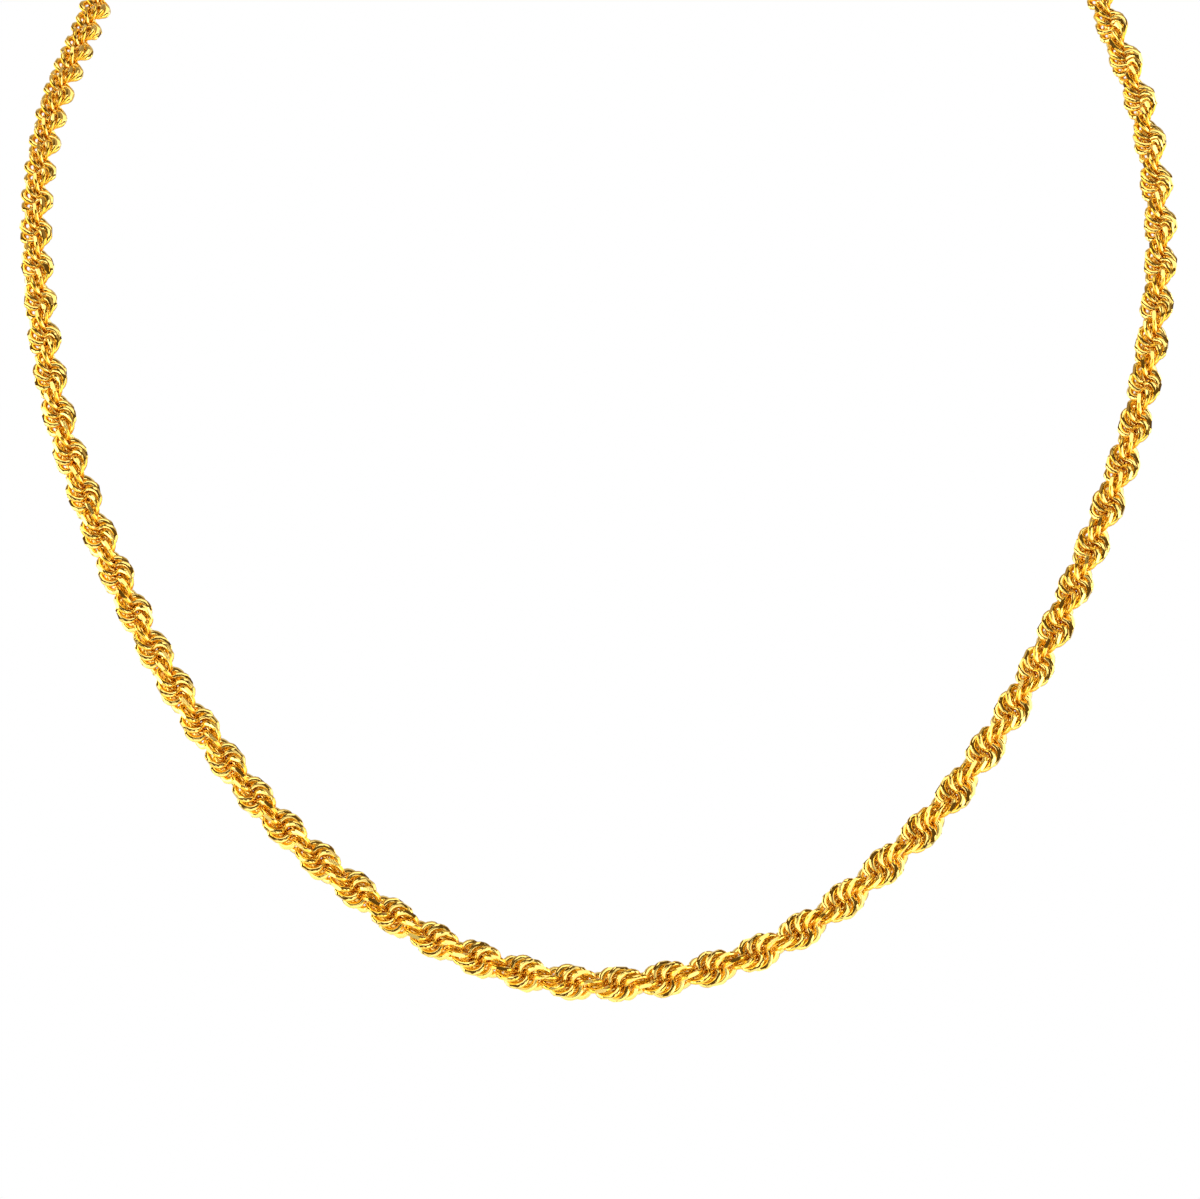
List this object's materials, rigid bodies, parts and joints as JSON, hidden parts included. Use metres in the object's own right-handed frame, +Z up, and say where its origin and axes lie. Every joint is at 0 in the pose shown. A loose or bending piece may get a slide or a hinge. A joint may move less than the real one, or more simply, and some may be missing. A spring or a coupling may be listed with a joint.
{
  "type": "rope chain necklace",
  "caption": "Gold rope chain necklace held in its worn loop: a right-hand twisted rope of small round links, closed at the nape by a plain barrel clasp.",
  "frame": {"origin": "on the neck side of the clasp, midway along it, where the necklace rests on the nape", "axes": "+Z up, -Y towards the wearer's front, +X to the wearer's left"},
  "size_m": [0.1268, 0.1055, 0.1609],
  "materials": {
    "rope_gold": null,
    "clasp_gold": null
  },
  "bodies": {
    "root": {"rope_chain": "rope_gold", "clasp": "clasp_gold"}
  },
  "joints": []
}
